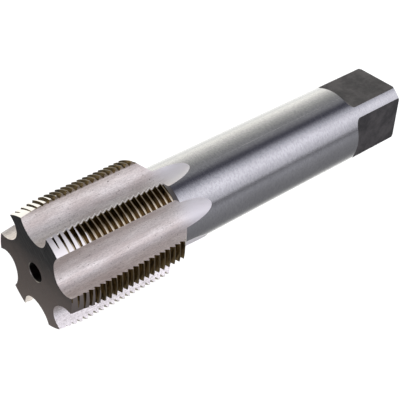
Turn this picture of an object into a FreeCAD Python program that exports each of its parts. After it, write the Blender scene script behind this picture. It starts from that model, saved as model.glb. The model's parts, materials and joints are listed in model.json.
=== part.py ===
import FreeCAD, Part
import math
import os

from FreeCAD import Vector

# A hand tap for a right-hand fine thread, in one piece of tool steel: a threaded head with straight
# flutes and a relieved lead, a plain round shank and a driving square.
# It is made along its own axis, nose at z = 0 and tail at z = OVERALL_LENGTH, with angles measured
# towards the cutting face from the way in which flute 0 opens. Then it is laid as it comes to rest.

# Driving dimensions, in millimetres and degrees
OVERALL_LENGTH = 149.0

THREAD_DIAMETER = 39.0
THREAD_PITCH = 2.0
THREAD_LENGTH = 41.0
THREAD_FLANK_ANGLE = 30.0
THREAD_CREST_WIDTH = 0.25
THREAD_DEPTH = 1.23
FIRST_CREST = 0.7

LEAD_DEPTH = 1.1
LEAD_ANGLE = 7.5
LEAD_RELIEF = 0.6

FLUTE_COUNT = 6
FLUTE_DEPTH = 7.85
CUTTING_EDGE_ANGLE = 19.0
RAKE_ANGLE = 10.0
FACE_ROOT_RADIUS = 4.8
BACK_ROOT_RADIUS = 7.9
FLUTE_LENGTH = 44.0
FLUTE_CUTTER_RADIUS = 40.0

SHANK_DIAMETER = 28.0
NECK_ANGLE = 45.0
TAIL_ROUND = 0.8

SQUARE_ACROSS_FLATS = 22.4
SQUARE_LENGTH = 23.6
SQUARE_ROOT_RADIUS = 2.5
SQUARE_TURN = -2.0

CENTRE_PILOT_DIAMETER = 3.15
CENTRE_MOUTH_DIAMETER = 6.7
CENTRE_CONE_ANGLE = 60.0
CENTRE_PILOT_LENGTH = 5.0

# How far a cut reaches past the surface that it opens
CLEAR = 2.0

# Sizes that follow from the ones above
head_radius = THREAD_DIAMETER / 2
shank_radius = SHANK_DIAMETER / 2
core_radius = head_radius - FLUTE_DEPTH
flute_step = 360.0 / FLUTE_COUNT
face_angle = CUTTING_EDGE_ANGLE - RAKE_ANGLE
square_start = OVERALL_LENGTH - SQUARE_LENGTH

ORIGIN = Vector(0, 0, 0)
AXIS = Vector(0, 0, 1)


def tangent(angle):
    return math.tan(math.radians(angle))


def direction(angle):
    """The way outwards at an angle about the tap's axis."""
    return Vector(math.cos(math.radians(angle)), math.sin(math.radians(angle)), 0)


def turned(points, angle=360.0):
    """A solid turned about the tap's axis from a closed outline of points in the plane y = 0."""
    outline = Part.makePolygon(points + points[:1])
    return Part.Face(outline).revolve(ORIGIN, AXIS, angle)


def around(solid, count):
    """A solid and its copies, evenly spaced about the tap's axis."""
    copies = []
    for number in range(count):
        copy = solid.copy()
        copy.rotate(ORIGIN, AXIS, number * 360.0 / count)
        copies.append(copy)
    return copies


def blank():
    """The bar as it leaves the lathe: head, back cone, shank and the rounded tail edge."""
    neck_end = THREAD_LENGTH + (head_radius - shank_radius) / tangent(NECK_ANGLE)
    bar = turned([
        Vector(0, 0, 0),
        Vector(head_radius, 0, 0),
        Vector(head_radius, 0, THREAD_LENGTH),
        Vector(shank_radius, 0, neck_end),
        Vector(shank_radius, 0, OVERALL_LENGTH),
        Vector(0, 0, OVERALL_LENGTH),
    ])
    tail_edge = max(bar.Edges, key=lambda edge: edge.BoundBox.ZMin + edge.BoundBox.XMax)
    return bar.makeFillet(TAIL_ROUND, [tail_edge])


def thread_groove():
    """The helical space between the thread's turns, from before the nose to past the back cone."""
    slope = tangent(THREAD_FLANK_ANGLE)
    mouth = (THREAD_PITCH - THREAD_CREST_WIDTH) / 2
    root = mouth - THREAD_DEPTH * slope
    # The cut opens past the crest by half of what would make its turns meet
    over = THREAD_CREST_WIDTH / 4 / slope
    outer = mouth + over * slope
    root_radius = head_radius - THREAD_DEPTH
    outer_radius = head_radius + over
    start = FIRST_CREST - THREAD_PITCH * 1.5
    end = THREAD_LENGTH + THREAD_DEPTH / tangent(NECK_ANGLE) + THREAD_PITCH
    section = Part.makePolygon([
        Vector(root_radius, 0, start - root),
        Vector(outer_radius, 0, start - outer),
        Vector(outer_radius, 0, start + outer),
        Vector(root_radius, 0, start + root),
        Vector(root_radius, 0, start - root),
    ])
    # A cone angle of 0 keeps every turn on the same cylinder
    helix = Part.makeLongHelix(THREAD_PITCH, end - start, head_radius, 0)
    helix.translate(Vector(0, 0, start))
    return Part.Wire(helix.Edges).makePipeShell([section], True, True)


def lead_cut():
    """What the lead takes off one land: a cone whose axis is moved, so that the land falls away
    behind its cutting edge. The edge itself lies on a true cone."""
    land_angle = flute_step - CUTTING_EDGE_ANGLE + heel_angle()
    shift = LEAD_RELIEF / math.sin(math.radians(land_angle))
    nose_radius = math.hypot(head_radius - LEAD_DEPTH, shift)
    slope = tangent(LEAD_ANGLE)
    length = (head_radius + shift - nose_radius) / slope
    outer_radius = head_radius + shift + CLEAR
    ring = turned([
        Vector(nose_radius - CLEAR * slope, 0, -CLEAR),
        Vector(outer_radius, 0, -CLEAR),
        Vector(outer_radius, 0, length),
        Vector(nose_radius + length * slope, 0, length),
    ], flute_step)
    # The ring reaches from the middle of the flute before the land to the middle of the next
    ring.translate(direction(CUTTING_EDGE_ANGLE - 90) * shift)
    return ring


def flute_points():
    """The centres of the two root arcs. Both arcs touch the core at one point, and the first also
    touches the cutting face."""
    edge = direction(CUTTING_EDGE_ANGLE) * head_radius
    turn = math.radians(face_angle)
    face_x = core_radius + FACE_ROOT_RADIUS
    face_y = edge.y + ((face_x - edge.x) * math.sin(turn) - FACE_ROOT_RADIUS) / math.cos(turn)
    return edge, Vector(face_x, face_y, 0), Vector(core_radius + BACK_ROOT_RADIUS, face_y, 0)


def heel_angle():
    """Where the back of a flute meets the thread's crests, seen from the flute's middle."""
    _, _, back_centre = flute_points()
    return math.degrees(math.asin((back_centre.y - BACK_ROOT_RADIUS) / head_radius))


def flute_section():
    """The shape that the flute cutter leaves: cutting face, two root arcs and the heel side."""
    edge, face_centre, back_centre = flute_points()
    outer = head_radius + CLEAR
    face_top = edge + direction(face_angle) * ((outer - edge.x) / math.cos(math.radians(face_angle)))
    face_root = face_centre + direction(face_angle + 90) * FACE_ROOT_RADIUS
    face_middle = face_centre + direction((face_angle + 90 + 180) / 2) * FACE_ROOT_RADIUS
    bottom = Vector(core_radius, face_centre.y, 0)
    back_middle = back_centre + direction(225) * BACK_ROOT_RADIUS
    back_root = back_centre + direction(270) * BACK_ROOT_RADIUS
    back_top = Vector(outer, back_root.y, 0)
    return Part.Face(Part.Wire([
        Part.makeLine(face_top, face_root),
        Part.Arc(face_root, face_middle, bottom).toShape(),
        Part.Arc(bottom, back_middle, back_root).toShape(),
        Part.makeLine(back_root, back_top),
        Part.makeLine(back_top, face_top),
    ]))


def flute():
    """One flute: a straight channel, then the run-out that the round cutter leaves in the shank."""
    section = flute_section()
    channel = section.copy()
    channel.translate(Vector(0, 0, -CLEAR))
    channel = channel.extrude(Vector(0, 0, FLUTE_LENGTH + CLEAR))
    section.translate(Vector(0, 0, FLUTE_LENGTH))
    cutter_centre = Vector(core_radius + FLUTE_CUTTER_RADIUS, 0, FLUTE_LENGTH)
    rise = head_radius + CLEAR - core_radius
    swing = math.degrees(math.acos(1 - rise / FLUTE_CUTTER_RADIUS))
    run_out = section.revolve(cutter_centre, Vector(0, 1, 0), swing)
    return channel.fuse(run_out)


def square_cut():
    """What is milled off one side of the shank's end, with the round that the mill leaves."""
    flat = SQUARE_ACROSS_FLATS / 2
    outer = shank_radius + SQUARE_ROOT_RADIUS + CLEAR
    end = OVERALL_LENGTH + CLEAR
    round_start = square_start + SQUARE_ROOT_RADIUS
    round_centre = Vector(flat + SQUARE_ROOT_RADIUS, 0, round_start)
    middle = math.sin(math.radians(45)) * SQUARE_ROOT_RADIUS
    foot = Vector(flat, -outer, round_start)
    round_middle = round_centre + Vector(-middle, -outer, -middle)
    round_top = Vector(round_centre.x, -outer, square_start)
    wall_top = Vector(outer, -outer, square_start)
    side = Part.Face(Part.Wire([
        Part.makeLine(Vector(flat, -outer, end), foot),
        Part.Arc(foot, round_middle, round_top).toShape(),
        Part.makeLine(round_top, wall_top),
        Part.makeLine(wall_top, Vector(outer, -outer, end)),
        Part.makeLine(Vector(outer, -outer, end), Vector(flat, -outer, end)),
    ]))
    cut = side.extrude(Vector(0, 2 * outer, 0))
    cut.rotate(ORIGIN, AXIS, SQUARE_TURN)
    return cut


def centre_hole():
    """A centre hole in the nose face: a cone for the lathe's centre and the pilot under it."""
    slope = tangent(CENTRE_CONE_ANGLE / 2)
    mouth = CENTRE_MOUTH_DIAMETER / 2
    pilot = CENTRE_PILOT_DIAMETER / 2
    cone_depth = (mouth - pilot) / slope
    pilot_end = cone_depth + CENTRE_PILOT_LENGTH
    return turned([
        Vector(0, 0, -CLEAR),
        Vector(mouth + CLEAR * slope, 0, -CLEAR),
        Vector(pilot, 0, cone_depth),
        Vector(pilot, 0, pilot_end),
        Vector(0, 0, pilot_end + pilot * slope),
    ])


def tail_centre_hole():
    hole = centre_hole()
    hole.rotate(ORIGIN, Vector(1, 0, 0), 180)
    hole.translate(Vector(0, 0, OVERALL_LENGTH))
    return hole


def tap():
    """The whole tap, standing on its nose along its own axis."""
    head = blank().cut(thread_groove())
    head = head.cut(around(lead_cut(), FLUTE_COUNT))
    head = head.cut(around(flute(), FLUTE_COUNT))
    return head.cut(around(square_cut(), 4) + [centre_hole(), tail_centre_hole()])


def as_it_rests(solid):
    """Lays the tap along X, nose towards -X, with a flute underneath. It rests on the two crests
    beside that flute, at the thread's last turn, and on the round shank where the square begins."""
    heel = heel_angle()
    below = flute_step * (FLUTE_COUNT // 2) + (CUTTING_EDGE_ANGLE + heel) / 2
    half_gap = math.radians((CUTTING_EDGE_ANGLE - heel) / 2)
    drop = head_radius * math.cos(half_gap) - shank_radius
    tilt = math.degrees(math.atan2(drop, square_start - THREAD_LENGTH))
    laid = solid.copy()
    laid.rotate(ORIGIN, AXIS, 180 - below)
    laid.rotate(ORIGIN, Vector(1, 0, 1), 180)
    laid.rotate(ORIGIN, Vector(0, 1, 0), tilt)
    box = laid.optimalBoundingBox(False, False)
    laid.translate(Vector(-box.Center.x, -box.Center.y, -box.ZMin))
    return laid


def main():
    os.makedirs("parts", exist_ok=True)
    as_it_rests(tap()).exportStep("parts/tap_body.step")


main()
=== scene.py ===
import json
import math

import bpy
from mathutils import Matrix, Vector


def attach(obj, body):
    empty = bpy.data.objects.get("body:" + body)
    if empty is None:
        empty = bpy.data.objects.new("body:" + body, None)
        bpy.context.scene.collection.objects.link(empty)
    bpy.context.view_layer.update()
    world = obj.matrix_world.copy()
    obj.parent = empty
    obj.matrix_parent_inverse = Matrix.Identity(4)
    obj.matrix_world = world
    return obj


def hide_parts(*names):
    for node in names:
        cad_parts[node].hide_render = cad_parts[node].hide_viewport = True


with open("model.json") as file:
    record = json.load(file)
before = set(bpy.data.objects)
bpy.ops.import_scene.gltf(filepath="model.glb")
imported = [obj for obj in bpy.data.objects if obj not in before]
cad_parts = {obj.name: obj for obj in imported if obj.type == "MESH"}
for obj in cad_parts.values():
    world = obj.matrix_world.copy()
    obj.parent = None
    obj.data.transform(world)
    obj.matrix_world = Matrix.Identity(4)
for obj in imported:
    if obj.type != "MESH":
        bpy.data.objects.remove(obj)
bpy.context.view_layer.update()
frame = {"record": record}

# The tap is modelled in millimetres, standing on its nose along Z, and laid in the frame at the end.
# Angles are measured as on the real tool: from the way in which flute 0 opens, towards its cutting face.

# Bar
OVERALL_LENGTH = 149.0
SHANK_RADIUS = 14.0
NECK_ANGLE = 45.0
TAIL_ROUND = 0.8

# Thread
THREAD_RADIUS = 19.5
THREAD_PITCH = 2.0
THREAD_LENGTH = 41.0
FLANK_ANGLE = 30.0
CREST_WIDTH = 0.25
THREAD_DEPTH = 1.23
FIRST_CREST = 0.7

# Lead
LEAD_DEPTH = 1.1
LEAD_ANGLE = 7.5
LEAD_RELIEF = 0.6

# Flutes
FLUTE_COUNT = 6
FLUTE_DEPTH = 7.85
CUTTING_EDGE_ANGLE = 19.0
RAKE_ANGLE = 10.0
FACE_ROOT_RADIUS = 4.8
BACK_ROOT_RADIUS = 7.9
FLUTE_LENGTH = 44.0
FLUTE_CUTTER_RADIUS = 40.0

# Square
ACROSS_FLATS = 22.4
SQUARE_LENGTH = 23.6
SQUARE_ROOT_RADIUS = 2.5
SQUARE_TURN = -2.0

# Centre holes
PILOT_RADIUS = 1.575
MOUTH_RADIUS = 3.35
CENTRE_CONE_ANGLE = 60.0
PILOT_LENGTH = 5.0

# How far a cutter reaches past the surface that it opens
CLEAR = 2.0

# How finely round forms are divided
ROUND_STEPS = 192
THREAD_STEPS = 96
ARC_STEPS = 24
RUN_OUT_STEPS = 36
LEAD_STEPS = 24
CENTRE_STEPS = 64
ROUND_EDGE_STEPS = 6

# Corners closer than this are one, in millimetres
MERGE_DISTANCE = 0.0005
# Edges that turn by more than this, in degrees, stay sharp
SMOOTH_ANGLE = 18.0

MILLIMETRE = 0.001

# Ground and milled steel
SHANK_DARK = (0.32, 0.32, 0.32, 1)
SHANK_LIGHT = (0.36, 0.36, 0.36, 1)
SHANK_GRAIN = (0.26, 0.26, 0.27, 1)
SHANK_RINGS = (0.42, 0.42, 0.43, 1)
LEAD_LIT = (0.68, 0.655, 0.625, 1)
LEAD_SHADED = (0.30, 0.26, 0.235, 1)
FLUTE_DARK = (0.62, 0.56, 0.52, 1)
FLUTE_LIGHT = (0.79, 0.755, 0.715, 1)
FLUTE_FACE_LIT = (0.93, 0.90, 0.885, 1)
FLUTE_MARKS = (0.3, 0.26, 0.24, 1)
FLUTE_RUN_OUT = (0.72, 0.7, 0.7, 1)
FLUTE_SPECKS = (0.12, 0.095, 0.085, 1)
FLUTE_EDGE_HIGHLIGHT = (0.7, 0.69, 0.64, 1)
FLUTE_HEEL = (0.16, 0.12, 0.07, 1)
NOSE_LIGHT = (0.098, 0.074, 0.066, 1)
NOSE_DARK = (0.010, 0.0095, 0.012, 1)
NOSE_LINES = (0.085, 0.08, 0.083, 1)
TAIL_DARK = (0.14, 0.14, 0.13, 1)
TAIL_LIGHT = (0.2, 0.19, 0.19, 1)
TAIL_RINGS = (0.3, 0.3, 0.29, 1)
NECK_SHADED = (0.064, 0.055, 0.05, 1)
NECK_LIT = (0.5, 0.46, 0.42, 1)
SQUARE_DARK = (0.029, 0.027, 0.027, 1)
SQUARE_LIGHT = (0.079, 0.073, 0.071, 1)
HOLE_PAINTED_SHADE = (0.0023, 0.0017, 0.0017, 1)
HOLE_RIM_HIGHLIGHT = (0.24, 0.22, 0.2, 1)

# Thread: the colours that the hardening has left, with painted highlights on edges and crests, painted
# reflection in the gold and painted shade on the side turned from the light
# Painted highlight: the white given to the cutting edges of the crests and flanks
CUTTING_EDGE_HIGHLIGHT = (0.85, 0.82, 0.77, 1)
CREST_WORN = (0.27, 0.22, 0.14, 1)
CREST_HEEL = (0.68, 0.61, 0.49, 1)
CREST_SHADED_BROWN = (0.12, 0.092, 0.056, 1)
GROOVE_BLACK = (0.012, 0.0076, 0.0023, 1)
GROOVE_BROWN = (0.076, 0.048, 0.013, 1)
GROOVE_STREAKS = (0.14, 0.09, 0.029, 1)
GROOVE_GOLD = (0.38, 0.28, 0.15, 1)
GROOVE_ROOT = (0.55, 0.5, 0.38, 1)
GROOVE_SHADED = (0.34, 0.25, 0.12, 1)
GROOVE_CORNER_HIGHLIGHT = (0.5, 0.44, 0.34, 1)

# The way towards the side of the thread that is golden: hardening colour, with painted reflection of the
# light from that side
GOLD_LIT_TURN = math.radians(35)
# Along the standing tap's Y: where the painted highlight on the crests begins, and where the painted shade
# of the shaded side begins
PAINTED_LIT_FROM = (-8.0, 0.0)
SHADED_FROM = (13.0, 17.0)

# The way in which the grinding lines cross the nose
NOSE_LINES_TURN = math.radians(-40)

# Soft light round the tap's length: angles from straight up, with the camera's side above 0
LIGHT = 2.76
LIGHT_BANDS = [
    (-98, (0.76, 0.755, 0.715)),
    (-76, (0.71, 0.70, 0.66)),
    (-62, (0.51, 0.50, 0.485)),
    (-45, (0.33, 0.33, 0.32)),
    (-28, (0.20, 0.20, 0.205)),
    (-8, (0.19, 0.19, 0.205)),
    (3, (0.05, 0.05, 0.065)),
    (13, (0.03, 0.03, 0.045)),
    (29, (0.36, 0.36, 0.41)),
    (45, (0.68, 0.67, 0.74)),
    (57, (0.72, 0.71, 0.78)),
    (69, (0.56, 0.55, 0.61)),
    (81, (0.43, 0.425, 0.47)),
    (89, (0.36, 0.355, 0.39)),
    (92, (0.03, 0.03, 0.04)),
]

# Less light comes from beyond the nose: the ways between which it fades, and what is left of it
LIT_SIDE = (-0.95, -0.35)
LIGHT_LEFT = 0.2

# What the tap sees of the table, from the front to the back, in metres across it
TABLE_LIGHT = 1.73
TABLE_TONES = [
    (-0.40, (0.06, 0.06, 0.07)),
    (-0.22, (0.12, 0.12, 0.135)),
    (-0.13, (0.27, 0.27, 0.30)),
    (-0.07, (0.33, 0.33, 0.365)),
    (-0.04, (0.25, 0.25, 0.27)),
    (-0.018, (0.17, 0.17, 0.18)),
    (-0.0135, (0.20, 0.20, 0.20)),
    (-0.0115, (0.40, 0.40, 0.395)),
    (-0.0075, (1.30, 1.30, 1.27)),
    (0.02, (0.84, 0.84, 0.81)),
]
# The table too is darker beyond the nose: where it fades, in metres along the tap, and what is left
TABLE_LIT_SIDE = (-0.13, -0.02)
TABLE_LIGHT_LEFT = 0.15
TABLE_GREY = (0.10, 0.10, 0.10, 1)
TABLE_SIZE = 6

# What the camera sees of the table: white, with a faint shadow
WHITE_GREY = (0.25, 0.25, 0.25, 1)
WHITE_GLOW = 0.93

WHITE = (1, 1, 1, 1)
BLACK = (0, 0, 0, 1)

# The photograph's view
CAMERA_PLACE = (-0.18517, -0.19225, 0.23745)
CAMERA_HEADING = 47.665
CAMERA_DIP = 40.818
CAMERA_ROLL = 1.6085
SENSOR_WIDTH = 36
LENS = 94.45
NEAREST_SEEN = 0.01

core_radius = THREAD_RADIUS - FLUTE_DEPTH
flute_step = 360 / FLUTE_COUNT
square_start = OVERALL_LENGTH - SQUARE_LENGTH
neck_end = THREAD_LENGTH + (THREAD_RADIUS - SHANK_RADIUS) / math.tan(math.radians(NECK_ANGLE))


# Places

def tangent(angle):
    return math.tan(math.radians(angle))


def direction(angle):
    """The way outwards at an angle about the tap's axis."""
    return Vector((math.cos(math.radians(angle)), math.sin(math.radians(angle)), 0))


def mount(name):
    return next(m for m in frame["record"]["mounts"] if m["name"] == name)


def placement():
    """From the standing tap in millimetres to the laid one in metres, as the record's mounts lie."""
    nose = Vector(mount("nose_centre")["pos_m"])
    along = -Vector(mount("nose_centre")["axis"]).normalized()
    flat = Vector(mount("square_flat_top")["axis"]).normalized()
    across = along.cross(flat)
    turn = math.radians(SQUARE_TURN)
    x = flat * math.cos(turn) - across * math.sin(turn)
    y = along.cross(x)
    axes = Matrix((x, y, along)).transposed().to_4x4()
    return Matrix.Translation(nose) @ axes @ Matrix.Scale(MILLIMETRE, 4)


laid = placement()


# Shader maths

class Socket:
    """A node's output, on which sums and products add Math nodes."""

    def __init__(self, tree, link):
        self.tree = tree
        self.link = link

    def node(self, kind, settings=None, inputs=None, output=0):
        return add_node(self.tree, kind, settings, inputs, output)

    def math(self, operation, *values):
        inputs = dict(enumerate((self,) + values))
        return self.node("ShaderNodeMath", {"operation": operation}, inputs)

    def __add__(self, other):
        return self.math("ADD", other)

    def __radd__(self, other):
        return self.math("ADD", other)

    def __sub__(self, other):
        return self.math("SUBTRACT", other)

    def __rsub__(self, other):
        return self.node("ShaderNodeMath", {"operation": "SUBTRACT"}, {0: other, 1: self})

    def __mul__(self, other):
        return self.math("MULTIPLY", other)

    def __rmul__(self, other):
        return self.math("MULTIPLY", other)

    def __truediv__(self, other):
        return self.math("DIVIDE", other)

    def between(self, low, high):
        """0 below low, 1 above high and a smooth rise in between."""
        settings = {"interpolation_type": "SMOOTHSTEP"}
        inputs = {"Value": self, "From Min": low, "From Max": high}
        return self.node("ShaderNodeMapRange", settings, inputs)


def add_node(tree, kind, settings=None, inputs=None, output=0):
    node = tree.nodes.new(kind)
    for name, value in (settings or {}).items():
        if name == "stops":
            set_stops(node.color_ramp, value)
        else:
            setattr(node, name, value)
    for name, value in (inputs or {}).items():
        socket = node.inputs[name]
        if isinstance(value, Socket):
            tree.links.new(value.link, socket)
        else:
            socket.default_value = value
    return Socket(tree, node.outputs[output])


def set_stops(ramp, stops):
    """Gives a ramp its stops, each a place and a colour."""
    while len(ramp.elements) < len(stops):
        ramp.elements.new(1.0)
    for element, (place, colour) in zip(ramp.elements, stops):
        element.position = place
        element.color = (*colour, 1)


def new_material(name):
    material = bpy.data.materials.new(name)
    material.use_nodes = True
    tree = material.node_tree
    tree.nodes.clear()
    return material, tree


def components(tree, vector):
    """A vector's x, y and z."""
    parts = tree.nodes.new("ShaderNodeSeparateXYZ")
    tree.links.new(vector.link, parts.inputs[0])
    return [Socket(tree, output) for output in parts.outputs]


def stretched_noise(vector, scale, detail=4.0, roughness=0.6):
    """Noise that is stretched by a different amount along each axis."""
    moved = vector.node("ShaderNodeVectorMath", {"operation": "MULTIPLY"}, {0: vector, 1: scale})
    inputs = {"Vector": moved, "Scale": 1.0, "Detail": detail, "Roughness": roughness}
    return vector.node("ShaderNodeTexNoise", None, inputs, "Fac")


class Place:
    """Where a point lies on the standing tap, in millimetres."""

    def __init__(self, tree):
        location, turn, scale = laid.inverted().decompose()
        coordinates = add_node(tree, "ShaderNodeTexCoord", output="Object")
        self.vector = add_node(tree, "ShaderNodeMapping", None, {
            "Vector": coordinates,
            "Location": location,
            "Rotation": turn.to_euler(),
            "Scale": scale,
        })
        self.x, self.y, self.z = components(tree, self.vector)

    def noise(self, scale, detail=4.0, roughness=0.6):
        return stretched_noise(self.vector, scale, detail, roughness)

    def radius(self):
        """The distance from the tap's axis."""
        return (self.x * self.x + self.y * self.y).math("SQRT")

    def behind_edge(self):
        """How many degrees a point lies behind its land's cutting edge."""
        angle = self.y.math("ARCTAN2", self.x) * math.degrees(1)
        return (angle + 360 - CUTTING_EDGE_ANGLE).math("MODULO", flute_step)

    def painted_lit_side(self):
        """1 on the side where the crests and the lead are painted bright as lit, and 0 where they are left
        brown, in painted shade.
        """
        return self.y.between(*PAINTED_LIT_FROM) * (1 - self.y.between(*SHADED_FROM))


def blended(tree, share, first, second):
    """A colour between two others."""
    settings = {"data_type": "RGBA"}
    return add_node(tree, "ShaderNodeMix", settings, {0: share, 6: first, 7: second}, 2)


def finish_steel(tree, colour, roughness, height, depth, metallic=1.0, specular=0.5):
    """The steel's shader, with a bump of depth in millimetres."""
    bump = add_node(tree, "ShaderNodeBump", None, {
        "Height": height, "Strength": 1.0, "Distance": depth * MILLIMETRE,
    })
    shader = add_node(tree, "ShaderNodeBsdfPrincipled", None, {
        "Base Color": colour, "Metallic": metallic, "Roughness": roughness, "Specular IOR Level": specular,
        "Normal": bump,
    })
    output = tree.nodes.new("ShaderNodeOutputMaterial")
    tree.links.new(shader.link, output.inputs["Surface"])


# Finishes

def ground_shank():
    material, tree = new_material("ground_shank")
    place = Place(tree)
    rings = place.noise((0.22, 0.22, 3.2), 6.0, 0.75)
    grain = place.noise((1.1, 1.1, 1.6), 4.0, 0.75)
    cloud = place.noise((0.09, 0.09, 0.05), 3.0)
    tint = blended(tree, cloud.between(0.3, 0.7), SHANK_DARK, SHANK_LIGHT)
    tint = blended(tree, grain.between(0.44, 0.62) * 0.5, tint, SHANK_GRAIN)
    tint = blended(tree, rings.between(0.52, 0.64) * 0.4, tint, SHANK_RINGS)
    roughness = 0.11 + rings * 0.06 + grain * 0.08
    finish_steel(tree, tint, roughness, rings + grain * 1.4, 0.016)
    return material


def ground_crest():
    """White along the cutting edge, a painted highlight, then brown, and lighter again at the heel; a
    darker brown where painted shade falls on the crests.
    """
    material, tree = new_material("ground_crest")
    place = Place(tree)
    rings = place.noise((0.3, 0.3, 7.0))
    edge = place.behind_edge()
    # Painted highlight: white along the cutting edge
    tint = blended(tree, edge.between(1.0, 4.0), CUTTING_EDGE_HIGHLIGHT, CREST_WORN)
    tint = blended(tree, edge.between(11.0, 19.0), tint, CREST_HEEL)
    # Painted shade: away from the lit side the crests are a dark brown
    tint = blended(tree, place.painted_lit_side(), CREST_SHADED_BROWN, tint)
    finish_steel(tree, tint, 0.38 + rings * 0.1, rings, 0.002, metallic=0.8)
    return material


def ground_groove():
    """Nearly black flanks; gold streaks towards the heel, partly hardening colour and partly painted
    reflection; painted highlights as light edges by the crests and white tips at the cutting edge.
    """
    material, tree = new_material("ground_groove")
    place = Place(tree)
    x, y, radius, edge = place.x, place.y, place.radius(), place.behind_edge()
    rings = place.noise((0.3, 0.3, 9.0))
    patches = place.noise((0.5, 0.5, 1.4), 3.0)
    streaks = place.noise((0.35, 0.35, 5.0), 3.0).between(0.44, 0.58)
    # Gold is painted only on the side towards the light: hardening colour with painted reflection
    gold_lit_side = (x * math.cos(GOLD_LIT_TURN) + y * math.sin(GOLD_LIT_TURN)).between(6.0, 17.0)
    gold = (edge + patches * 12).between(14.0, 25.0) * gold_lit_side
    root = 1 - (radius - THREAD_RADIUS + THREAD_DEPTH).between(0.03, 0.12)
    # Painted highlight: a light edge along the groove where it meets the crest, brightest on the lit side
    corner = radius.between(THREAD_RADIUS - 0.14, THREAD_RADIUS - 0.04) * (0.2 + place.painted_lit_side() * 0.8)
    # Painted highlight: white tips on the flanks at the cutting edge, on the lit side only
    tip = (1 - (edge + (radius - THREAD_RADIUS) * 0.5).between(0.7, 2.0)) * place.painted_lit_side()
    tint = blended(tree, patches.between(0.35, 0.65), GROOVE_BLACK, GROOVE_BROWN)
    tint = blended(tree, streaks * 0.5, tint, GROOVE_STREAKS)
    tint = blended(tree, gold * (0.3 + streaks * 0.7), tint, GROOVE_GOLD)
    tint = blended(tree, root * gold * 0.7, tint, GROOVE_ROOT)
    tint = blended(tree, y.between(*SHADED_FROM) * (0.15 + streaks * 0.45), tint, GROOVE_SHADED)
    tint = blended(tree, corner, tint, GROOVE_CORNER_HIGHLIGHT)
    tint = blended(tree, tip, tint, CUTTING_EDGE_HIGHLIGHT)
    finish_steel(tree, tint, 0.28 + rings * 0.12 + tip * 0.2, rings, 0.003, metallic=1 - tip * 0.8)
    return material


def ground_lead():
    material, tree = new_material("ground_lead")
    place = Place(tree)
    rings = place.noise((0.3, 0.3, 6.0))
    tint = blended(tree, place.y.between(*SHADED_FROM), LEAD_LIT, LEAD_SHADED)
    finish_steel(tree, tint, 0.38 + rings * 0.1, rings, 0.003)
    return material


def milled_flute():
    """Fine grain and lines along the flute, a few dark specks, a lighter run-out, and painted highlights
    on the lit part of the cutting faces and at the edges.
    """
    material, tree = new_material("milled_flute")
    place = Place(tree)
    x, y, radius = place.x, place.y, place.radius()
    lines = place.noise((2.2, 2.2, 0.16), 6.0, 0.8)
    grain = place.noise((3.0, 3.0, 1.5), 3.0, 0.7)
    cloud = place.noise((0.25, 0.25, 0.06), 3.0)
    run_out = place.z.between(FLUTE_LENGTH - 1, FLUTE_LENGTH + 8)
    specks = place.noise((2.2, 2.2, 1.3), 2.0).between(0.668, 0.71) * (1 - run_out)
    # Painted highlight: the part of the cutting faces where the back light falls
    lit_face = (0 - x).between(7.0, 11.0) * y.between(3.0, 7.0)
    # Painted highlight along the flute edges at the thread's outside
    edge = radius.between(THREAD_RADIUS - 0.3, THREAD_RADIUS)
    heel = radius.between(THREAD_RADIUS - 1.4, THREAD_RADIUS - 0.9)
    heel = heel * place.behind_edge().between(17.0, 20.0) * (0 - y).between(2.0, 5.0)
    tint = blended(tree, cloud.between(0.3, 0.7), FLUTE_DARK, FLUTE_LIGHT)
    tint = blended(tree, lit_face, tint, FLUTE_FACE_LIT)
    tint = blended(tree, lines.between(0.45, 0.65) * 0.32, tint, FLUTE_MARKS)
    tint = blended(tree, grain.between(0.45, 0.62) * 0.28, tint, FLUTE_MARKS)
    tint = blended(tree, run_out, tint, FLUTE_RUN_OUT)
    tint = blended(tree, specks * 0.8, tint, FLUTE_SPECKS)
    tint = blended(tree, edge, tint, FLUTE_EDGE_HIGHLIGHT)
    tint = blended(tree, heel * 0.75, tint, FLUTE_HEEL)
    rise = lines * 0.7 + grain * 0.5 - specks * 0.5
    finish_steel(tree, tint, 0.53 + lines * 0.10, rise, 0.05, metallic=1 - run_out * 0.55)
    return material


def milled_nose_face():
    """The nose, darker on one side and crossed by grinding lines."""
    material, tree = new_material("milled_nose_face")
    place = Place(tree)
    across = place.vector.node("ShaderNodeVectorRotate", {"rotation_type": "Z_AXIS"}, {
        "Vector": place.vector, "Angle": NOSE_LINES_TURN,
    })
    lines = stretched_noise(across, (1.9, 0.12, 1.0), 4.0, 0.7)
    cloud = place.noise((0.2, 0.2, 0.2), 3.0)
    dark_side = (place.x + (cloud - 0.5) * 8.0).between(-3.0, 11.0)
    tint = blended(tree, dark_side, NOSE_LIGHT, NOSE_DARK)
    tint = blended(tree, lines.between(0.50, 0.64) * 0.45, tint, NOSE_LINES)
    finish_steel(tree, tint, 0.42 + lines * 0.15, lines, 0.03, metallic=0.65, specular=0.08)
    return material


def faced_tail():
    material, tree = new_material("faced_tail")
    place = Place(tree)
    rings = add_node(tree, "ShaderNodeTexNoise", {"noise_dimensions": "1D"}, {
        "W": place.radius(), "Scale": 2.5, "Detail": 4.0, "Roughness": 0.7,
    })
    cloud = place.noise((0.2, 0.2, 0.2))
    tint = blended(tree, cloud.between(0.35, 0.65), TAIL_DARK, TAIL_LIGHT)
    tint = blended(tree, rings.between(0.5, 0.62) * 0.5, tint, TAIL_RINGS)
    finish_steel(tree, tint, 0.32 + rings * 0.15, rings, 0.02)
    return material


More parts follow.
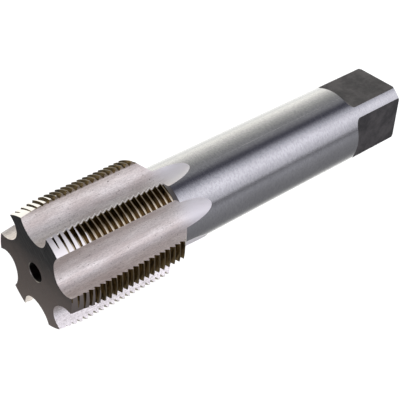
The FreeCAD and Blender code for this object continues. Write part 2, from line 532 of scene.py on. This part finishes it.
def turned_neck():
    material, tree = new_material("turned_neck")
    place = Place(tree)
    rings = place.noise((0.2, 0.2, 4.0))
    # Painted light: the neck is lit beyond Y = 14 mm and in painted shade below 12 mm
    tint = blended(tree, place.y.between(12.0, 14.0), NECK_SHADED, NECK_LIT)
    finish_steel(tree, tint, 0.4 + rings * 0.15, rings, 0.01, metallic=0.8)
    return material


def milled_square():
    material, tree = new_material("milled_square")
    place = Place(tree)
    cloud = place.noise((0.16, 0.16, 0.16), 6.0, 0.7)
    arcs = place.noise((0.8, 0.8, 0.25))
    tint = blended(tree, cloud.between(0.35, 0.65), SQUARE_DARK, SQUARE_LIGHT)
    finish_steel(tree, tint, 0.45 + arcs * 0.15, arcs + cloud, 0.01, metallic=0.5)
    return material


def bored_hole():
    """Painted shade inside, nearly black, with a painted highlight on the rim."""
    material, tree = new_material("bored_hole")
    place = Place(tree)
    rings = place.noise((0.5, 0.5, 6.0))
    rim = place.radius().between(MOUTH_RADIUS - 0.22, MOUTH_RADIUS - 0.05)
    tint = blended(tree, rim, HOLE_PAINTED_SHADE, HOLE_RIM_HIGHLIGHT)
    finish_steel(tree, tint, 0.35 + rings * 0.2, rings, 0.01)
    return material


# Modelling

def nothing_selected():
    if bpy.context.mode != "OBJECT":
        bpy.ops.object.mode_set(mode="OBJECT")
    bpy.ops.object.select_all(action="DESELECT")


def outline(points, material, filled=True):
    """A flat outline that starts as a round one with as many corners."""
    nothing_selected()
    fill = "NGON" if filled else "NOTHING"
    bpy.ops.mesh.primitive_circle_add(vertices=len(points), fill_type=fill)
    piece = bpy.context.object
    for vertex, point in zip(piece.data.vertices, points):
        vertex.co = point
    piece.data.materials.append(material)
    return piece


def closed(piece):
    """Merges what meets, turns every face outwards and leaves only flat faces, which are triangles."""
    nothing_selected()
    bpy.context.view_layer.objects.active = piece
    piece.select_set(True)
    bpy.ops.object.mode_set(mode="EDIT")
    bpy.ops.mesh.select_all(action="SELECT")
    bpy.ops.mesh.remove_doubles(threshold=MERGE_DISTANCE)
    bpy.ops.mesh.normals_make_consistent(inside=False)
    bpy.ops.mesh.quads_convert_to_tris()
    bpy.ops.object.mode_set(mode="OBJECT")
    return piece


def turned(points, material, steps):
    """A round solid from its outline in the plane y = 0, which starts and ends on the axis."""
    piece = outline(points, material, filled=False)
    bpy.ops.object.mode_set(mode="EDIT")
    bpy.ops.mesh.select_all(action="SELECT")
    bpy.ops.mesh.spin(steps=steps, angle=math.tau, center=(0, 0, 0), axis=(0, 0, 1))
    closed(piece)
    # The outline's own line along the axis has become a loose one
    bpy.ops.object.mode_set(mode="EDIT")
    bpy.ops.mesh.delete_loose(use_verts=False)
    bpy.ops.object.mode_set(mode="OBJECT")
    return piece


def around(piece, count):
    """One mesh of a cutter and its copies, evenly spaced about the axis."""
    copies = [piece]
    for number in range(1, count):
        copy = piece.copy()
        copy.data = piece.data.copy()
        copy.data.transform(Matrix.Rotation(math.tau * number / count, 4, "Z"))
        bpy.context.collection.objects.link(copy)
        copies.append(copy)
    nothing_selected()
    for copy in copies:
        copy.select_set(True)
    bpy.context.view_layer.objects.active = piece
    bpy.ops.object.join()
    return piece


def cut(piece, cutter):
    """Takes a cutter away from the piece. The new faces keep the finish that the cutter leaves."""
    nothing_selected()
    bpy.context.view_layer.objects.active = piece
    piece.select_set(True)
    modifier = piece.modifiers.new("cut", "BOOLEAN")
    modifier.operation = "DIFFERENCE"
    modifier.solver = "EXACT"
    modifier.material_mode = "TRANSFER"
    modifier.object = cutter
    bpy.ops.object.modifier_apply(modifier=modifier.name)
    bpy.data.objects.remove(cutter)
    bpy.ops.object.mode_set(mode="EDIT")
    bpy.ops.mesh.select_all(action="SELECT")
    bpy.ops.mesh.quads_convert_to_tris()
    bpy.ops.object.mode_set(mode="OBJECT")


def blank(shank, crest, neck, nose, tail):
    """The bar as it leaves the lathe, with the finish of each stretch."""
    points = [
        (0, 0, 0),
        (THREAD_RADIUS, 0, 0),
        (THREAD_RADIUS, 0, THREAD_LENGTH),
        (SHANK_RADIUS, 0, neck_end),
    ]
    for n in range(ROUND_EDGE_STEPS + 1):
        turn = math.radians(90 * n / ROUND_EDGE_STEPS)
        x = SHANK_RADIUS - TAIL_ROUND * (1 - math.cos(turn))
        points.append((x, 0, OVERALL_LENGTH - TAIL_ROUND * (1 - math.sin(turn))))
    points.append((0, 0, OVERALL_LENGTH))
    piece = turned(points, shank, ROUND_STEPS)
    # Half a facet on, so that no line of the bar lies in a line of the thread
    piece.data.transform(Matrix.Rotation(math.pi / ROUND_STEPS, 4, "Z"))
    for material in (crest, neck, nose, tail):
        piece.data.materials.append(material)
    crest_slot, neck_slot, nose_slot, tail_slot = 1, 2, 3, 4
    for face in piece.data.polygons:
        on_side = face.normal.z > -0.5
        on_tail = face.normal.z > 0.99
        if on_side and face.center.z < THREAD_LENGTH:
            face.material_index = crest_slot
        elif on_side and face.center.z < neck_end:
            face.material_index = neck_slot
        elif face.center.z < THREAD_LENGTH:
            face.material_index = nose_slot
        elif on_tail:
            face.material_index = tail_slot
    return piece


def thread_groove(material):
    """The helical space between the thread's turns."""
    slope = tangent(FLANK_ANGLE)
    mouth = (THREAD_PITCH - CREST_WIDTH) / 2
    root = mouth - THREAD_DEPTH * slope
    # Past the surface, but not so far that the cutter's turns meet
    over = CREST_WIDTH / 4 / slope
    outer = mouth + over * slope
    root_radius = THREAD_RADIUS - THREAD_DEPTH
    outer_radius = THREAD_RADIUS + over
    start = FIRST_CREST - THREAD_PITCH * 1.5
    end = THREAD_LENGTH + THREAD_DEPTH / tangent(NECK_ANGLE) + THREAD_PITCH
    piece = outline([
        (root_radius, 0, start - root),
        (outer_radius, 0, start - outer),
        (outer_radius, 0, start + outer),
        (root_radius, 0, start + root),
    ], material, filled=False)
    screw = piece.modifiers.new("turns", "SCREW")
    screw.angle = math.tau
    screw.screw_offset = THREAD_PITCH
    screw.iterations = math.ceil((end - start) / THREAD_PITCH)
    screw.steps = THREAD_STEPS
    screw.render_steps = THREAD_STEPS
    bpy.ops.object.modifier_apply(modifier=screw.name)
    bpy.ops.object.mode_set(mode="EDIT")
    bpy.ops.mesh.select_all(action="SELECT")
    bpy.ops.mesh.fill_holes(sides=4)
    return closed(piece)


def flute_centres():
    """The cutting edge and the centres of the two root arcs, which touch the core at one point."""
    edge = direction(CUTTING_EDGE_ANGLE) * THREAD_RADIUS
    face = math.radians(CUTTING_EDGE_ANGLE - RAKE_ANGLE)
    x = core_radius + FACE_ROOT_RADIUS
    y = edge.y + ((x - edge.x) * math.sin(face) - FACE_ROOT_RADIUS) / math.cos(face)
    return edge, Vector((x, y, 0)), Vector((core_radius + BACK_ROOT_RADIUS, y, 0))


def heel_angle():
    back = flute_centres()[2]
    return math.degrees(math.asin((back.y - BACK_ROOT_RADIUS) / THREAD_RADIUS))


def arc(centre, radius, first, last):
    """Points on an arc, from one angle to another."""
    angles = [first + (last - first) * n / ARC_STEPS for n in range(ARC_STEPS + 1)]
    return [centre + direction(angle) * radius for angle in angles]


def flute_cutter(material):
    """What one pass of the flute cutter takes out: a straight channel and its curved run-out."""
    edge, face_centre, back_centre = flute_centres()
    face_angle = CUTTING_EDGE_ANGLE - RAKE_ANGLE
    outer = THREAD_RADIUS + CLEAR
    face_top = edge + direction(face_angle) * ((outer - edge.x) / math.cos(math.radians(face_angle)))
    back_top = Vector((outer, back_centre.y - BACK_ROOT_RADIUS, 0))
    face_arc = arc(face_centre, FACE_ROOT_RADIUS, face_angle + 90, 180)
    back_arc = arc(back_centre, BACK_ROOT_RADIUS, 180, 270)
    below = Vector((0, 0, -CLEAR))
    piece = outline([p + below for p in [face_top] + face_arc + back_arc[1:] + [back_top]], material)
    bpy.ops.object.mode_set(mode="EDIT")
    bpy.ops.mesh.select_all(action="SELECT")
    bpy.ops.mesh.extrude_region_move(TRANSFORM_OT_translate={"value": (0, 0, FLUTE_LENGTH + CLEAR)})
    rise = outer - core_radius
    swing = math.acos(1 - rise / FLUTE_CUTTER_RADIUS)
    centre = (core_radius + FLUTE_CUTTER_RADIUS, 0, FLUTE_LENGTH)
    bpy.ops.mesh.spin(steps=RUN_OUT_STEPS, angle=-swing, center=centre, axis=(0, 1, 0))
    return closed(piece)


def lead_cutter(material):
    """What relief grinding takes off one land: a cone whose axis is moved, so that the land falls away
    behind its cutting edge."""
    heel = flute_step + heel_angle()
    shift = LEAD_RELIEF / math.sin(math.radians(heel - CUTTING_EDGE_ANGLE))
    nose_radius = math.hypot(THREAD_RADIUS - LEAD_DEPTH, shift)
    slope = tangent(LEAD_ANGLE)
    length = (THREAD_RADIUS + shift - nose_radius) / slope
    outer = THREAD_RADIUS + shift + CLEAR
    # The cut starts and ends in the flutes, a quarter of the way across them
    spare = (flute_step - heel + CUTTING_EDGE_ANGLE) / 4
    first = direction(CUTTING_EDGE_ANGLE - spare)
    moved = direction(CUTTING_EDGE_ANGLE - 90) * shift
    points = [
        first * (nose_radius - CLEAR * slope) + Vector((0, 0, -CLEAR)),
        first * outer + Vector((0, 0, -CLEAR)),
        first * outer + Vector((0, 0, length)),
        first * (nose_radius + length * slope) + Vector((0, 0, length)),
    ]
    piece = outline([point + moved for point in points], material)
    bpy.ops.object.mode_set(mode="EDIT")
    bpy.ops.mesh.select_all(action="SELECT")
    swing = math.radians(heel - CUTTING_EDGE_ANGLE + 2 * spare)
    bpy.ops.mesh.spin(steps=LEAD_STEPS, angle=-swing, center=moved, axis=(0, 0, 1))
    return closed(piece)


def square_cutter(material):
    """What is milled off one side of the shank's end, with the round that the mill leaves."""
    flat = ACROSS_FLATS / 2
    outer = SHANK_RADIUS + SQUARE_ROOT_RADIUS + CLEAR
    # Wider than the flat, but clear of the cutter on the next side
    reach = (math.sqrt(SHANK_RADIUS ** 2 - flat ** 2) + flat) / 2
    end = OVERALL_LENGTH + CLEAR
    round_start = square_start + SQUARE_ROOT_RADIUS
    points = [Vector((flat, -reach, end))]
    for n in range(ARC_STEPS + 1):
        turn = math.radians(90 * n / ARC_STEPS)
        x = flat + SQUARE_ROOT_RADIUS * (1 - math.cos(turn))
        z = round_start - SQUARE_ROOT_RADIUS * math.sin(turn)
        points.append(Vector((x, -reach, z)))
    points += [Vector((outer, -reach, square_start)), Vector((outer, -reach, end))]
    piece = outline(points, material)
    bpy.ops.object.mode_set(mode="EDIT")
    bpy.ops.mesh.select_all(action="SELECT")
    bpy.ops.mesh.extrude_region_move(TRANSFORM_OT_translate={"value": (0, 2 * reach, 0)})
    closed(piece)
    piece.data.transform(Matrix.Rotation(math.radians(SQUARE_TURN), 4, "Z"))
    return piece


def centre_cutter(material, at_tail):
    """A centre drill's cone and pilot, at the nose or at the tail."""
    slope = tangent(CENTRE_CONE_ANGLE / 2)
    cone_depth = (MOUTH_RADIUS - PILOT_RADIUS) / slope
    pilot_end = cone_depth + PILOT_LENGTH
    piece = turned([
        (0, 0, -CLEAR),
        (MOUTH_RADIUS + CLEAR * slope, 0, -CLEAR),
        (PILOT_RADIUS, 0, cone_depth),
        (PILOT_RADIUS, 0, pilot_end),
        (0, 0, pilot_end + PILOT_RADIUS * slope),
    ], material, CENTRE_STEPS)
    if at_tail:
        turn = Matrix.Rotation(math.pi, 4, "X")
        piece.data.transform(Matrix.Translation((0, 0, OVERALL_LENGTH)) @ turn)
    return piece


def tap():
    """The whole tap, machined in the order in which the real one is."""
    piece = blank(ground_shank(), ground_crest(), turned_neck(), milled_nose_face(), faced_tail())
    piece.name = "tap"
    hole = bored_hole()
    cut(piece, around(flute_cutter(milled_flute()), FLUTE_COUNT))
    cut(piece, around(square_cutter(milled_square()), 4))
    cut(piece, centre_cutter(hole, at_tail=False))
    cut(piece, centre_cutter(hole, at_tail=True))
    cut(piece, thread_groove(ground_groove()))
    cut(piece, around(lead_cutter(ground_lead()), FLUTE_COUNT))
    nothing_selected()
    bpy.context.view_layer.objects.active = piece
    piece.select_set(True)
    bpy.ops.object.shade_smooth_by_angle(angle=math.radians(SMOOTH_ANGLE))
    piece.data.transform(laid)
    return piece


# Studio

def floor():
    """A white table. The tap sees it glow, as painted light: bright behind, where a back light would fall,
    and darker in front.
    """
    nothing_selected()
    bpy.ops.mesh.primitive_plane_add(size=TABLE_SIZE)
    piece = bpy.context.object
    piece.name = "floor"
    material, tree = new_material("pale_floor")
    seen = add_node(tree, "ShaderNodeLightPath", output="Is Camera Ray")
    x, y = components(tree, add_node(tree, "ShaderNodeTexCoord", output="Object"))[:2]
    stops = [(0.5 + across, colour) for across, colour in TABLE_TONES]
    tone = add_node(tree, "ShaderNodeValToRGB", {"stops": stops}, {"Fac": y + 0.5})
    lit_side = x.between(*TABLE_LIT_SIDE) * (1 - TABLE_LIGHT_LEFT) + TABLE_LIGHT_LEFT
    tone = blended(tree, lit_side, BLACK, tone)
    glow = add_node(tree, "ShaderNodeEmission", None, {"Color": tone, "Strength": TABLE_LIGHT})
    plain = add_node(tree, "ShaderNodeBsdfDiffuse", None, {"Color": TABLE_GREY})
    lit = add_node(tree, "ShaderNodeAddShader", None, {0: plain, 1: glow})
    pale = add_node(tree, "ShaderNodeBsdfDiffuse", None, {"Color": WHITE_GREY})
    white = add_node(tree, "ShaderNodeEmission", None, {"Color": WHITE, "Strength": WHITE_GLOW})
    bright = add_node(tree, "ShaderNodeAddShader", None, {0: pale, 1: white})
    mixed = add_node(tree, "ShaderNodeMixShader", None, {0: seen, 1: lit, 2: bright})
    output = tree.nodes.new("ShaderNodeOutputMaterial")
    tree.links.new(mixed.link, output.inputs["Surface"])
    piece.data.materials.append(material)


def sky():
    """Soft light from long panels that lie side by side along the tap, as bands round its axis."""
    world = bpy.data.worlds.new("studio")
    bpy.context.scene.world = world
    world.use_nodes = True
    tree = world.node_tree
    tree.nodes.clear()
    x, y, z = components(tree, add_node(tree, "ShaderNodeTexCoord", output="Generated"))
    across = (y * -1).math("ARCTAN2", z) / math.tau + 0.5
    stops = [(0.5 + angle / 360, colour) for angle, colour in LIGHT_BANDS]
    colour = add_node(tree, "ShaderNodeValToRGB", {"stops": stops}, {"Fac": across})
    lit_side = x.between(*LIT_SIDE) * (1 - LIGHT_LEFT) + LIGHT_LEFT
    colour = blended(tree, lit_side, BLACK, colour)
    light = add_node(tree, "ShaderNodeBackground", None, {"Color": colour, "Strength": LIGHT})
    output = tree.nodes.new("ShaderNodeOutputWorld")
    tree.links.new(light.link, output.inputs["Surface"])


def camera():
    bpy.ops.object.camera_add(location=CAMERA_PLACE)
    piece = bpy.context.object
    turn = Matrix.Rotation(math.radians(CAMERA_HEADING - 90), 4, "Z")
    tip = Matrix.Rotation(math.radians(90 - CAMERA_DIP), 4, "X")
    roll = Matrix.Rotation(math.radians(CAMERA_ROLL), 4, "Z")
    piece.matrix_world = Matrix.Translation(CAMERA_PLACE) @ turn @ tip @ roll
    piece.data.sensor_width = SENSOR_WIDTH
    piece.data.lens = LENS
    piece.data.clip_start = NEAREST_SEEN
    bpy.context.scene.camera = piece


body = tap()
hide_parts("tap_body")
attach(body, "root")
floor()
sky()
camera()
bpy.context.scene.view_settings.view_transform = "Standard"
